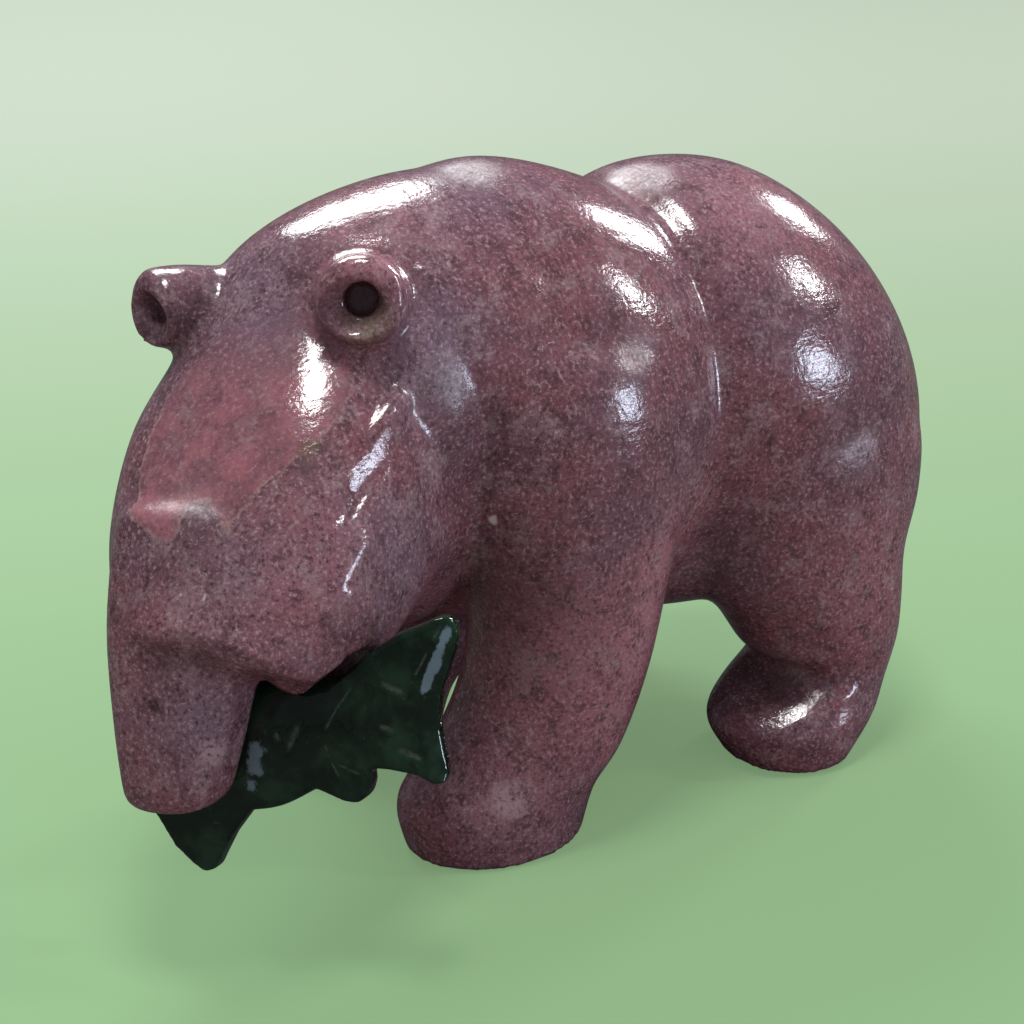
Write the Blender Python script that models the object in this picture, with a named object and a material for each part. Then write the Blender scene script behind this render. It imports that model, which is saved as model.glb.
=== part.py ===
"""Carved rhodonite bear with its head lowered, holding a flat jade fish in its mouth.

Metres, +Z up. The bear faces -Y, its left side is at +X, and its soles stand on Z = 0.
The bear is one stone and the fish is another. The forms are free carving, so they are
written in millimetres of a bear LENGTH long, and share() turns them into metres.
"""

from math import copysign, cos, radians, sin

import bmesh
import bpy
from mathutils import Matrix, Vector

# Driving dimensions
LENGTH = 0.115
DRAWN_LENGTH = 115.0
FISH_THICKNESS = 0.0046
FIN_THICKNESS = 0.0026
MOUTH_CLEARANCE = 0.0003
EAR_HOLE_DIAMETER = 0.0038
EAR_HOLE_DEPTH = 0.0042

# How finely the stone is cut
GRAIN = 0.0009
POLISH_STEPS = 8
BEAR_TRIANGLES = 7100
FISH_TRIANGLES = 1800
FISH_GRAIN = 0.0005
FISH_POLISH_STEPS = 3
FISH_SQUARENESS = 2.3
RING_POINTS = 28
RING_STEPS = 4

# How the head hangs: turned to the bear's left, its left ear higher
HEAD_YAW = radians(32)
HEAD_ROLL = radians(9)
CROWN = (6.0, -40.0, 69.0)

# The bite, where the fish lies flat between the jaws, measured from the muzzle's root
MOUTH_YAW = radians(39)
MOUTH_ROLL = radians(12)
MOUTH_DIP = radians(79)
MUZZLE_ROOT = (-3.0, 24.5, -29.0)
BITE_DEPTH = 10.0
MOUTH_CORNER = 5.0

# Where an ear's cup looks, as shares of the head's left, forward and up, and its place
EAR_FACING = (0.49, 0.81, 0.22)
EAR_SPREAD = 14.3
EAR_FORWARD = 1.5
EAR_HEIGHT = 0.9
RIGHT_EAR_SIZE = 0.93

# The hollow of an ear: half sizes across, down and deep, and how far it sits inward and down
EAR_CUP = (4.1, 3.4, 2.3)
EAR_CUP_INWARD = 1.1
EAR_CUP_DROP = 1.4

# How far each right leg stands ahead of the left one
FRONT_STEP = 1.0
HIND_STEP = 15.0

# Outlines of the fish's fins in the bite's plane: along to the left, then down
TAIL_FIN = (
    (11.0, 10.0), (14.5, 8.2), (18.5, 5.5), (22.6, 3.2), (28.4, 1.3), (27.0, 5.0), (23.4, 9.4),
    (24.7, 14.5), (25.3, 20.6), (22.3, 19.0), (19.0, 18.2), (15.0, 17.8), (11.0, 17.0),
)
BELLY_FIN = ((17.0, 16.5), (17.4, 20.4), (15.1, 22.2), (12.3, 21.2), (10.2, 19.9), (8.0, 17.0))
CHIN_FIN = ((2.0, 19.0), (1.8, 22.6), (-1.2, 26.0), (-4.4, 29.1), (-7.9, 25.9), (-10.2, 21.2), (-6.0, 19.0))

# The room in the left cheek for the tail, drawn the same way, and how far out it reaches
TAIL_ROOM = ((8.0, 11.0), (11.0, 9.2), (18.5, 4.6), (29.0, 0.0), (40.0, -4.0), (40.0, 30.0), (8.0, 30.0))
TAIL_ROOM_REACH = 25.0


def share(millimetres):
    """A carved size, given in millimetres of the bear at its drawn length, in metres."""
    return millimetres * LENGTH / DRAWN_LENGTH


def place(x, y, z):
    return Vector((share(x), share(y), share(z)))


def head_axes(yaw, roll):
    """The head's own directions: to its left, forward and up."""
    forward = Vector((sin(yaw), -cos(yaw), 0.0))
    left = Vector((cos(yaw), sin(yaw), 0.0))
    up = Vector((0.0, 0.0, 1.0))
    return cos(roll) * left + sin(roll) * up, forward, cos(roll) * up - sin(roll) * left


def head_place(left, forward, up):
    """A point of the head, measured from the crown between the ears."""
    to_left, ahead, upward = head_axes(HEAD_YAW, HEAD_ROLL)
    offset = share(left) * to_left + share(forward) * ahead + share(up) * upward
    return place(*CROWN) + offset


def mouth_axes():
    """The bite's directions: to the bear's left, down the muzzle, and out of the face."""
    to_left, ahead, upward = head_axes(MOUTH_YAW, MOUTH_ROLL)
    down = cos(MOUTH_DIP) * ahead - sin(MOUTH_DIP) * upward
    out = sin(MOUTH_DIP) * ahead + cos(MOUTH_DIP) * upward
    return to_left, down, out


def mouth_place(left, down, out):
    """A point measured from the middle of the bite, level with the muzzle's root."""
    to_left, downward, outward = mouth_axes()
    offset = share(left) * to_left + share(down) * downward + share(out - BITE_DEPTH) * outward
    return head_place(*MUZZLE_ROOT) + offset


def ring(centre, across, through, width, depth, square=2.0):
    """A station of a loft: half sizes in millimetres, and 2 is an ellipse, more is squarer."""
    return [*centre, *across, *through, share(width), share(depth), square]


def level_ring(x, y, z, width, depth, square=2.0):
    """A station of an upright form, such as a leg."""
    return ring(place(x, y, z), (1, 0, 0), (0, -1, 0), width, depth, square)


def body_ring(x, y, z, width, depth, square=2.0):
    """A station of a form that runs along the back."""
    return ring(place(x, y, z), (1, 0, 0), (0, 0, 1), width, depth, square)


def face_ring(forward, up, dip, width, depth, square=2.0, left=0.0, tilt=0.0):
    """A station of the head that touches the face line, its left end tilted down."""
    to_left, ahead, upward = head_axes(HEAD_YAW, HEAD_ROLL)
    out = sin(radians(dip)) * ahead + cos(radians(dip)) * upward
    down = cos(radians(dip)) * ahead - sin(radians(dip)) * upward
    across = cos(radians(tilt)) * to_left + sin(radians(tilt)) * down
    centre = head_place(left, forward, up) - share(depth) * out
    return ring(centre, across, out, width, depth, square)


def neck_ring(x, y, z, yaw, roll, dip, width, depth, square=2.0):
    """A station of the neck, which turns from the back's line to the head's."""
    to_left, ahead, upward = head_axes(radians(yaw), radians(roll))
    out = sin(radians(dip)) * ahead + cos(radians(dip)) * upward
    return ring(place(x, y, z), to_left, out, width, depth, square)


def between(before, start, end, after, step):
    """One value on the smooth curve from start to end."""
    slope_in = (end - before) / 2
    slope_out = (after - start) / 2
    turn = step * step * (3 - 2 * step)
    lead = step * (1 - step) ** 2 * slope_in
    tail = step * step * (step - 1) * slope_out
    return start + (end - start) * turn + lead + tail


def smooth_rings(rings):
    """The stations with RING_STEPS smooth steps from each one to the next."""
    steps = []
    last = len(rings) - 1
    for index in range(last):
        corners = (rings[max(index - 1, 0)], rings[index], rings[index + 1], rings[min(index + 2, last)])
        for count in range(RING_STEPS):
            steps.append([between(*values, count / RING_STEPS) for values in zip(*corners)])
    return steps + [rings[last]]


def add_ring(shell, station):
    """Draw one station and return its edges."""
    centre = Vector(station[0:3])
    across = Vector(station[3:6]).normalized()
    through = Vector(station[6:9])
    through = (through - through.dot(across) * across).normalized()
    width, depth, square = station[9:12]
    drawn = bmesh.ops.create_circle(shell, segments=RING_POINTS, radius=1.0)
    points = drawn["verts"]
    for point in points:
        side = copysign(abs(point.co.x) ** (2 / square), point.co.x)
        front = copysign(abs(point.co.y) ** (2 / square), point.co.y)
        point.co = centre + side * width * across + front * depth * through
    return list({edge for point in points for edge in point.link_edges})


def shrunk(station, direction, turn, bulge):
    """A ring of the rounded end past a station."""
    end = list(station)
    for axis in range(3):
        end[axis] += direction[axis] * bulge * sin(turn)
    end[9] *= cos(turn)
    end[10] *= cos(turn)
    return end


def add_loft(shell, rings, bulge=0.7):
    """Skin a row of stations and round both of its ends."""
    rings = smooth_rings(rings)
    ends = []
    for end, inner in ((rings[0], rings[1]), (rings[-1], rings[-2])):
        direction = (Vector(end[0:3]) - Vector(inner[0:3])).normalized()
        reach = bulge * min(end[9], end[10])
        ends.append([shrunk(end, direction, radians(turn), reach) for turn in (30, 55, 75)])
    loops = [add_ring(shell, station) for station in ends[0][::-1] + rings + ends[1]]
    for first, second in zip(loops, loops[1:]):
        bmesh.ops.bridge_loops(shell, edges=first + second)
    for loop in (loops[0], loops[-1]):
        bmesh.ops.edgeloop_fill(shell, edges=loop)


def add_ball(shell, centre, radii, turn=None, subdivisions=4):
    """An ellipsoid with half sizes in millimetres."""
    matrix = Matrix.Translation(centre) @ (turn or Matrix.Identity(4))
    matrix = matrix @ Matrix.Diagonal([share(radius) for radius in radii] + [1.0])
    bmesh.ops.create_icosphere(shell, subdivisions=subdivisions, radius=1.0, matrix=matrix)


def add_rump(shell):
    add_loft(shell, [
        body_ring(0, 4, 48, 18, 22),
        body_ring(0, 13.5, 47.9, 22.8, 27.2),
        body_ring(0, 22, 47.3, 25.2, 29.2),
        body_ring(0, 32, 46.2, 25.6, 28.6),
        body_ring(0, 41, 44.6, 24.0, 25.0),
        body_ring(0, 48.9, 40.7, 19.6, 21.2),
        body_ring(0, 54.2, 38.9, 13.4, 14.5),
        body_ring(0, 56.6, 39.2, 6.8, 9.1),
    ], bulge=0.25)


def add_shoulders(shell):
    add_loft(shell, [
        body_ring(0, 21, 47, 17, 21),
        body_ring(0, 13.5, 47.2, 22.8, 26.4),
        body_ring(0, 4, 48.6, 24.8, 29.2),
        body_ring(0, -5, 50.5, 24.0, 29.5),
        body_ring(0, -13, 51.5, 21.5, 28.0),
    ])


def add_belly(shell):
    add_loft(shell, [
        body_ring(0, 2, 37.6, 18, 15.5, 2.4),
        body_ring(0, 12, 36.4, 19.2, 16.2, 2.7),
        body_ring(0, 23, 36.2, 20.0, 17.4, 2.7),
    ])


def add_front_leg(shell, side, ahead):
    add_loft(shell, [
        level_ring(side * 10.0, -4, 66, 7, 11.5),
        level_ring(side * 13.2, -4.3, 60, 11, 15.8, 2.0),
        level_ring(side * 14.6, -4.2, 50, 12, 16.7, 2.1),
        level_ring(side * 15.5, -5, 40, 11.5, 15.5, 2.2),
        level_ring(side * 16.0, -4.8 - ahead * 0.3, 30, 11.0, 12.9),
        level_ring(side * 16.2, -6.6 - ahead * 0.6, 20, 10.4, 12.2),
        level_ring(side * 16.0, -10.7 - ahead, 11, 10.2, 12.9),
        level_ring(side * 15.8, -14.8 - ahead, 6, 10.0, 13.2),
        level_ring(side * 15.8, -15.3 - ahead, 0, 9.4, 11.6),
    ])


def add_hind_leg(shell, side, ahead):
    add_loft(shell, [
        level_ring(side * 12.0, 31 - ahead * 0.2, 52, 11, 14),
        level_ring(side * 13.5, 32.3 - ahead * 0.3, 43, 12.5, 18.7),
        level_ring(side * 14.6, 32.5 - ahead * 0.5, 34, 12.0, 18.8),
        level_ring(side * 15.4, 32.1 - ahead * 0.6, 26, 11.6, 16.4),
        level_ring(side * 16.4, 34.0 - ahead * 0.7, 20, 11.0, 13.3),
        level_ring(side * 17.2, 35.2 - ahead * 0.85, 15.0, 9.9, 11.4),
        level_ring(side * 17.3, 36.0 - ahead * 0.95, 12.2, 9.5, 9.4),
        level_ring(side * 17.8, 32.7 - ahead, 8.8, 9.6, 11.5),
        level_ring(side * 18.4, 30.1 - ahead, 5.0, 10.1, 11.8),
        level_ring(side * 18.4, 29.3 - ahead, 0, 9.2, 8.0),
    ])


def add_neck_and_face(shell):
    add_loft(shell, [
        neck_ring(0.0, 0, 51.5, 0, 0, 0, 22, 26.5),
        neck_ring(0.5, -12, 52.5, 6, 2, 6, 22.5, 27.3),
        neck_ring(1.3, -23, 52.0, 16, 5, 20, 21.2, 26.0),
        face_ring(0.0, -0.8, 36, 18.4, 21.3, 2.2, left=-0.2),
        face_ring(10, -9, 46, 18.4, 18.5, 2.6, left=-0.6),
        face_ring(19, -19, 54, 17.0, 15, 2.7, left=-0.4, tilt=3),
        face_ring(26.0, -29.8, 66, 13.6, 12, 2.6, left=-0.6, tilt=13),
    ], bulge=0.12)
    for side in (-1, 1):
        add_ball(shell, head_place(side * 7.0 + 2.0, 13, -31.5), (6.2, 8, 9.5))


def add_ruff(shell):
    add_ball(shell, place(4, -24, 46.5), (16.5, 11.5, 20))
    for side in (-1, 1):
        add_ball(shell, place(side * 10.5 + 0.2, -25, 56), (11.0, 12, 15))


def ear_ring(side, back, radius):
    to_left, ahead, upward = head_axes(HEAD_YAW, HEAD_ROLL)
    sideways, forward, rise = EAR_FACING
    out = (side * sideways * to_left + forward * ahead + rise * upward).normalized()
    across = out.cross(Vector((0.0, 0.0, 1.0))).normalized()
    centre = head_place(side * EAR_SPREAD, EAR_FORWARD, EAR_HEIGHT) - share(back) * out
    return ring(centre, across, out.cross(across), radius, radius)


def add_ear(shell, side):
    size = 1.0 if side > 0 else RIGHT_EAR_SIZE
    stations = [ear_ring(side, back, size * radius) for back, radius in ((10, 5.0), (5, 5.2), (1, 4.8))]
    add_loft(shell, stations, bulge=0.2)


def jaw_ring(down, width, depth):
    to_left, downward, outward = mouth_axes()
    half_bite = FISH_THICKNESS / 2 + MOUTH_CLEARANCE
    centre = mouth_place(0, down, 0) - (half_bite + share(depth) - GRAIN) * outward
    return ring(centre, to_left, outward, width, depth, 2.6)


def add_lower_jaw(shell):
    add_loft(shell, [
        jaw_ring(-6, 8, 5),
        jaw_ring(3, 7.5, 4.5),
        jaw_ring(11, 7.0, 4.0),
        jaw_ring(15.5, 6.0, 3.6),
    ], bulge=0.6)


def add_muzzle(shell):
    add_loft(shell, [
        face_ring(20.0, -18, 70, 8.9, 6, 2.6, left=-3.7),
        face_ring(24.5, -29, 79, 9.1, 6, 2.8, left=-4.0),
        face_ring(27.0, -40, 81, 7.4, 5.6, 2.7, left=-5.4),
        face_ring(28.3, -47, 84, 6.0, 5.0, 2.6, left=-6.1),
    ], bulge=0.5)


def material(name, colour, roughness):
    finish = bpy.data.materials.new(name)
    finish.use_nodes = True
    surface = finish.node_tree.nodes["Principled BSDF"]
    surface.inputs["Base Color"].default_value = (*colour, 1.0)
    surface.inputs["Roughness"].default_value = roughness
    surface.inputs["Metallic"].default_value = 0.0
    return finish


def stone_object(name, shell, finish):
    bmesh.ops.recalc_face_normals(shell, faces=shell.faces)
    mesh = bpy.data.meshes.new(name)
    shell.to_mesh(mesh)
    shell.free()
    mesh.materials.append(finish)
    stone = bpy.data.objects.new(name, mesh)
    bpy.context.scene.collection.objects.link(stone)
    return stone


def cutter(name, shell):
    """A guide that a Boolean cuts with, and that the model leaves out."""
    guide = stone_object(name, shell, material(name, (0.5, 0.5, 0.5), 0.5))
    guide.hide_render = True
    guide.display_type = "WIRE"
    return guide


def cut(stone, guide):
    boolean = stone.modifiers.new(guide.name, "BOOLEAN")
    boolean.operation = "DIFFERENCE"
    boolean.solver = "EXACT"
    boolean.object = guide


def add_floor_cutter():
    shell = bmesh.new()
    size = 2 * LENGTH
    matrix = Matrix.Translation((0, 0, -size / 2)) @ Matrix.Scale(size, 4)
    bmesh.ops.create_cube(shell, size=1.0, matrix=matrix)
    return cutter("floor_cutter", shell)


def carve_bear():
    shell = bmesh.new()
    add_rump(shell)
    add_shoulders(shell)
    add_front_leg(shell, 1, 0)
    add_front_leg(shell, -1, FRONT_STEP)
    add_hind_leg(shell, 1, 0)
    add_hind_leg(shell, -1, HIND_STEP)
    add_belly(shell)
    add_ruff(shell)
    add_neck_and_face(shell)
    add_muzzle(shell)
    add_lower_jaw(shell)
    for side in (-1, 1):
        add_ear(shell, side)
    bear = stone_object("bear", shell, material("rhodonite", (0.19, 0.075, 0.09), 0.12))
    fuse(bear, GRAIN, POLISH_STEPS, BEAR_TRIANGLES)
    cut(bear, add_floor_cutter())
    cut(bear, add_bite_cutter())
    cut(bear, add_tail_room_cutter())
    for side in (-1, 1):
        cut(bear, add_ear_cup(side))
        cut(bear, add_ear_drill(side))
    return bear


def frame_matrix(origin, across, along):
    """A local frame: its X runs across, its Y along, and its origin is at a point."""
    across = across.normalized()
    normal = across.cross(along).normalized()
    along = normal.cross(across)
    matrix = Matrix((across, along, normal)).transposed().to_4x4()
    return Matrix.Translation(origin) @ matrix


def add_bite_cutter():
    """The slot between the jaws, from the corner of the mouth down past the nose."""
    shell = bmesh.new()
    to_left, down, out = mouth_axes()
    middle = mouth_place(0, MOUTH_CORNER, 0) + down * LENGTH / 2
    size = Matrix.Diagonal((LENGTH, LENGTH, FISH_THICKNESS + 2 * MOUTH_CLEARANCE, 1.0))
    bmesh.ops.create_cube(shell, size=1.0, matrix=frame_matrix(middle, to_left, down) @ size)
    return cutter("bite_cutter", shell)


def add_tail_room_cutter():
    """Clears the cheek in front of the tail, from the back of the bite outward."""
    shell = bmesh.new()
    half_bite = FISH_THICKNESS / 2 + MOUTH_CLEARANCE
    add_plate(shell, TAIL_ROOM, -half_bite, share(TAIL_ROOM_REACH))
    return cutter("tail_room_cutter", shell)


def add_ear_cup(side):
    """The open hollow around an ear's hole."""
    shell = bmesh.new()
    station = ear_ring(side, 0, 1)
    across = Vector(station[3:6])
    down = Vector(station[6:9])
    centre = Vector(station[0:3]) + share(side * EAR_CUP_INWARD) * across + share(EAR_CUP_DROP) * down
    turn = frame_matrix(Vector((0, 0, 0)), across, down)
    add_ball(shell, centre, EAR_CUP, turn, subdivisions=3)
    return cutter(f"ear_cup_{'left' if side > 0 else 'right'}", shell)


def add_ear_drill(side):
    shell = bmesh.new()
    station = ear_ring(side, 0, 1)
    across = Vector(station[3:6])
    through = Vector(station[6:9])
    matrix = frame_matrix(Vector(station[0:3]), across, through)
    bmesh.ops.create_cone(
        shell, cap_ends=True, segments=16, radius1=EAR_HOLE_DIAMETER / 2,
        radius2=EAR_HOLE_DIAMETER / 2, depth=2 * EAR_HOLE_DEPTH, matrix=matrix,
    )
    return cutter(f"ear_drill_{'left' if side > 0 else 'right'}", shell)


def fish_ring(along, drop, height, fullness):
    """A station across the fish, as full as a share of FISH_THICKNESS."""
    to_left, down, out = mouth_axes()
    half = fullness * FISH_THICKNESS / 2
    return [*mouth_place(along, drop, 0), *down, *out, share(height), half, FISH_SQUARENESS]


def add_fish_body(shell):
    add_loft(shell, [
        fish_ring(-11.8, 16.8, 3.2, 0.61),
        fish_ring(-8.5, 16.0, 5.5, 0.91),
        fish_ring(-3.0, 15.3, 6.7, 1.0),
        fish_ring(4.5, 14.9, 7.2, 1.0),
        fish_ring(10.0, 14.0, 6.2, 0.96),
        fish_ring(15.0, 12.8, 5.2, 0.74),
    ], bulge=0.6)


def add_plate(shell, outline, back, front):
    """A flat form with the given outline in the bite's plane, from back to front of it."""
    to_left, down, out = mouth_axes()
    corners = [shell.verts.new(mouth_place(along, drop, 0) + back * out) for along, drop in outline]
    face = shell.faces.new(corners)
    raised = bmesh.ops.extrude_face_region(shell, geom=[face])
    points = [item for item in raised["geom"] if isinstance(item, bmesh.types.BMVert)]
    bmesh.ops.translate(shell, verts=points, vec=(front - back) * out)


def carve_fish():
    shell = bmesh.new()
    add_fish_body(shell)
    for outline in (TAIL_FIN, BELLY_FIN, CHIN_FIN):
        add_plate(shell, outline, -FIN_THICKNESS / 2, FIN_THICKNESS / 2)
    fish = stone_object("fish", shell, material("jade", (0.02, 0.05, 0.03), 0.1))
    fuse(fish, FISH_GRAIN, FISH_POLISH_STEPS, FISH_TRIANGLES)
    return fish


def evaluated_mesh(stone):
    return stone.evaluated_get(bpy.context.evaluated_depsgraph_get()).to_mesh()


def fuse(stone, grain, steps, triangles):
    """Make one closed skin of the overlapping forms, soften it, and thin it out."""
    union = stone.modifiers.new("union", "REMESH")
    union.mode = "VOXEL"
    union.voxel_size = grain
    union.use_smooth_shade = True
    polish = stone.modifiers.new("polish", "SMOOTH")
    polish.factor = 0.5
    polish.iterations = steps
    skin = evaluated_mesh(stone)
    fewer = stone.modifiers.new("fewer_faces", "DECIMATE")
    fewer.ratio = min(1.0, triangles / (2 * len(skin.polygons)))


def stand_at_origin(things):
    """Move everything so that the middle of the finished box's floor is the origin."""
    stand = bpy.data.objects.new("stand", None)
    bpy.context.scene.collection.objects.link(stand)
    corners = [point.co for thing in things for point in evaluated_mesh(thing).vertices]
    middle = [(max(c[axis] for c in corners) + min(c[axis] for c in corners)) / 2 for axis in range(2)]
    for thing in bpy.data.objects:
        if thing is not stand:
            thing.parent = stand
    stand.location = (-middle[0], -middle[1], 0.0)


def main():
    for thing in list(bpy.data.objects):
        bpy.data.objects.remove(thing)
    stand_at_origin([carve_bear(), carve_fish()])


main()
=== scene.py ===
"""The looks of a carved rhodonite bear that holds a flat jade fish in its mouth.

The carving is drawn again from the same stations as the solids, in millimetres of a bear
DRAWN_LENGTH long, with a finer skin, the small cuts that a step away doesn't show, and the
two stones' colours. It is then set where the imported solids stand.
"""

from math import copysign, cos, radians, sin

import bmesh
import bpy
import numpy as np
from mathutils import Matrix, Vector


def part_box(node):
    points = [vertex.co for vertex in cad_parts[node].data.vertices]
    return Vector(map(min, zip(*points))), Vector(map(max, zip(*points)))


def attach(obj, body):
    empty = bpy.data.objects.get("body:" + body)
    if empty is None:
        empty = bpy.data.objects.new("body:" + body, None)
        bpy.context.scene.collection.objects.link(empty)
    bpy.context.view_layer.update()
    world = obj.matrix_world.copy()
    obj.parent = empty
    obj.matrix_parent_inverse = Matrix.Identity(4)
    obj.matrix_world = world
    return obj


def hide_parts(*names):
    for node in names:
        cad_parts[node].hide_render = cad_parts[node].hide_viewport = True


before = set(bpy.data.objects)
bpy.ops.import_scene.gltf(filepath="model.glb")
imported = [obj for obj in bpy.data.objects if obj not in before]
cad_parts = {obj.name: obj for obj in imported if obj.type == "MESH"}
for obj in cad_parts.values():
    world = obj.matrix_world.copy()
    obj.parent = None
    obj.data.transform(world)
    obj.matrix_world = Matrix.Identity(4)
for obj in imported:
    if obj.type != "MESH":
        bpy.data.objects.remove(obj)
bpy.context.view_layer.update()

# Sizes shared with the solids
LENGTH = 0.115
DRAWN_LENGTH = 115.0
FISH_THICKNESS = 0.0046
FIN_THICKNESS = 0.0026
MOUTH_CLEARANCE = 0.0003
EAR_HOLE_DIAMETER = 0.0038
EAR_HOLE_DEPTH = 0.0042
JAW_SQUARENESS = 2.6

# How finely the two stones are cut
UNION_GRAIN = 0.00055
SOFTEN_STEPS = 14
SKIN_GRAIN = 0.00046
POLISH_STEPS = 4
BEAR_TRIANGLES = 190000
FISH_GRAIN = 0.00022
FISH_POLISH_STEPS = 30
FISH_SQUARENESS = 2.3
RING_POINTS = 56
RING_STEPS = 8
ROUND_END_TURNS = (15, 30, 45, 60, 75, 84)
EAR_HOLE_SIDES = 32

# How the head hangs: turned to the bear's left, its left ear higher
HEAD_YAW = radians(32)
HEAD_ROLL = radians(9)
CROWN = (6.0, -40.0, 69.0)

# The bite, where the fish lies flat between the jaws, measured from the muzzle's root
MOUTH_YAW = radians(39)
MOUTH_ROLL = radians(12)
MOUTH_DIP = radians(79)
MUZZLE_ROOT = (-3.0, 24.5, -29.0)
BITE_DEPTH = 10.0
MOUTH_CORNER = 5.0

# Where an ear's cup looks, as shares of the head's left, forward and up, and its place
EAR_FACING = (0.49, 0.81, 0.22)
EAR_SPREAD = 14.3
EAR_FORWARD = 1.5
EAR_HEIGHT = 0.9
RIGHT_EAR_SIZE = 0.93

# An ear's stations, as how far back each lies and its radius
EAR_STATIONS = ((10, 5.0), (5, 5.2), (1, 4.8))

# The hollow of an ear: half sizes across, down and deep, and how far it sits inward and down
EAR_CUP = (4.1, 3.4, 2.3)
EAR_CUP_INWARD = 1.1
EAR_CUP_DROP = 1.4

# How far each right leg stands ahead of the left one
FRONT_STEP = 1.0
HIND_STEP = 15.0

# Outlines of the fish's fins in the bite's plane: along to the left, then down
TAIL_FIN = (
    (11.0, 10.0), (14.5, 8.2), (18.5, 5.5), (22.6, 3.4), (26.2, 2.4), (27.1, 2.0), (28.1, 2.0), (28.9, 2.6),
    (29.1, 3.9), (28.5, 5.6), (27.3, 7.9), (26.3, 10.0), (25.7, 12.1), (25.4, 14.2), (25.5, 16.5),
    (25.7, 18.9), (25.3, 20.2), (24.3, 20.2), (22.3, 19.0), (19.0, 18.2), (15.0, 17.8), (11.0, 17.0),
)
BELLY_FIN = (
    (17.0, 16.5), (17.0, 19.6), (16.3, 21.0), (15.0, 21.8), (13.6, 21.6), (10.2, 19.9), (8.0, 17.0),
)
CHIN_FIN = (
    (2.0, 19.0), (1.6, 22.4), (-0.8, 24.8), (-2.4, 27.0), (-3.5, 28.6), (-4.9, 28.9), (-6.4, 27.6),
    (-8.0, 25.8), (-10.2, 21.2), (-6.0, 19.0),
)

# The room in the left cheek for the tail, drawn the same way, and how far out it reaches
TAIL_ROOM = ((8.0, 11.0), (11.0, 9.2), (18.5, 4.6), (29.0, 0.0), (40.0, -4.0), (40.0, 30.0), (8.0, 30.0))
TAIL_ROOM_REACH = 25.0

# Places along the chisel's lines on the bear's left side, in its drawn millimetres
WAIST_LINE = (
    (0.0, 12.4, 75.0), (7.5, 13.2, 73.3), (12.0, 13.6, 70.9), (15.9, 13.7, 67.3), (19.5, 13.6, 61.8),
    (21.9, 13.0, 55.6), (23.3, 11.8, 46.8), (20.6, 12.8, 35.2), (17.6, 13.1, 27.4),
)
CHEEK_LINE = (
    (19.7, -28.5, 63.2), (20.0, -29.4, 61.8), (20.3, -30.4, 60.5), (21.4, -32.0, 59.4), (22.6, -33.6, 58.3),
    (24.5, -36.6, 56.1), (26.2, -39.5, 53.9), (27.4, -41.7, 51.9), (28.1, -43.2, 50.5),
)
JOWL_LINE = (
    (28.2, -39.0, 49.8), (28.8, -40.6, 48.3), (29.9, -43.3, 46.0), (30.6, -45.6, 43.7), (31.0, -47.6, 41.7),
)
MOUTH_CORNER_LINE = ((30.2, -42.6, 44.8), (30.4, -43.6, 43.3), (31.0, -45.5, 40.0))
NAPE_LINE = ((14.2, -24.0, 74.2), (16.1, -23.4, 72.8), (17.8, -23.0, 70.9), (19.4, -23.0, 69.0))
PAW_LINE = (
    (27.0, 34.7, 10.1), (26.9, 30.2, 9.2), (26.4, 26.5, 8.0), (25.2, 22.6, 6.5), (23.6, 20.6, 5.9),
    (20.6, 19.7, 6.8),
)
PAW_HOLLOW = ((25.4, 31.0, 12.4), (23.7, 27.0, 10.7), (21.9, 23.5, 9.4), (18.0, 22.5, 9.5))
BROW_LINE = (
    (16.4, -62.1, 39.9), (20.4, -60.8, 39.9), (22.3, -59.2, 41.2), (26.6, -56.7, 40.9), (30.3, -53.3, 39.4),
    (31.5, -49.0, 36.8),
)
BROW_GROOVE = (
    (17.2, -61.9, 37.6), (21.0, -60.4, 37.6), (23.6, -58.5, 38.6), (26.9, -56.2, 38.4), (29.8, -53.2, 37.0),
    (30.6, -49.4, 34.8),
)
SNOUT_PITS = ((20.5, -61.9, 32.0), (21.0, -60.3, 38.1))

# The facet along the cheek's line: its rise and tilt at even steps, and its half width
CHEEK_RISE = (0.0, 0.4, 0.85, 1.0, 0.65, -0.15, -0.75, -1.0, -0.8)
CHEEK_TILT = (-0.35, -0.29, -0.22, -0.18, -0.16, -0.18, -0.20, -0.24, -0.29)
CHEEK_WIDTH = 1.8

# The share of a facet that fades at each end, and how wide the end is beside the middle
FACET_TAPER = 0.25
FACET_END_WIDTH = 0.4

# The rosier skin on the forehead: its edge in millimetres to the head's left, then up
ROSE_PATCH = (
    (12.2, -8.2), (12.4, -10.2), (11.5, -11.7), (9.6, -13.2), (7.6, -14.7), (5.5, -16.9), (3.6, -19.0),
    (1.6, -17.4), (1.1, -16.5), (-1.5, -16.6), (-1.2, -18.5), (-2.5, -20.3), (-5.9, -18.7), (-8.8, -16.8),
    (-9.6, -14.3), (-9.3, -8.3), (-6.8, -4.0), (-2.2, -1.3), (3.8, -0.6), (10.4, -1.6), (11.1, -5.0),
)

# How far behind the crown the patch may lie, and the distance that stands for far away
PATCH_REACH_BACK = 6.0
FAR_FROM_PATCH = 30.0

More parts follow.
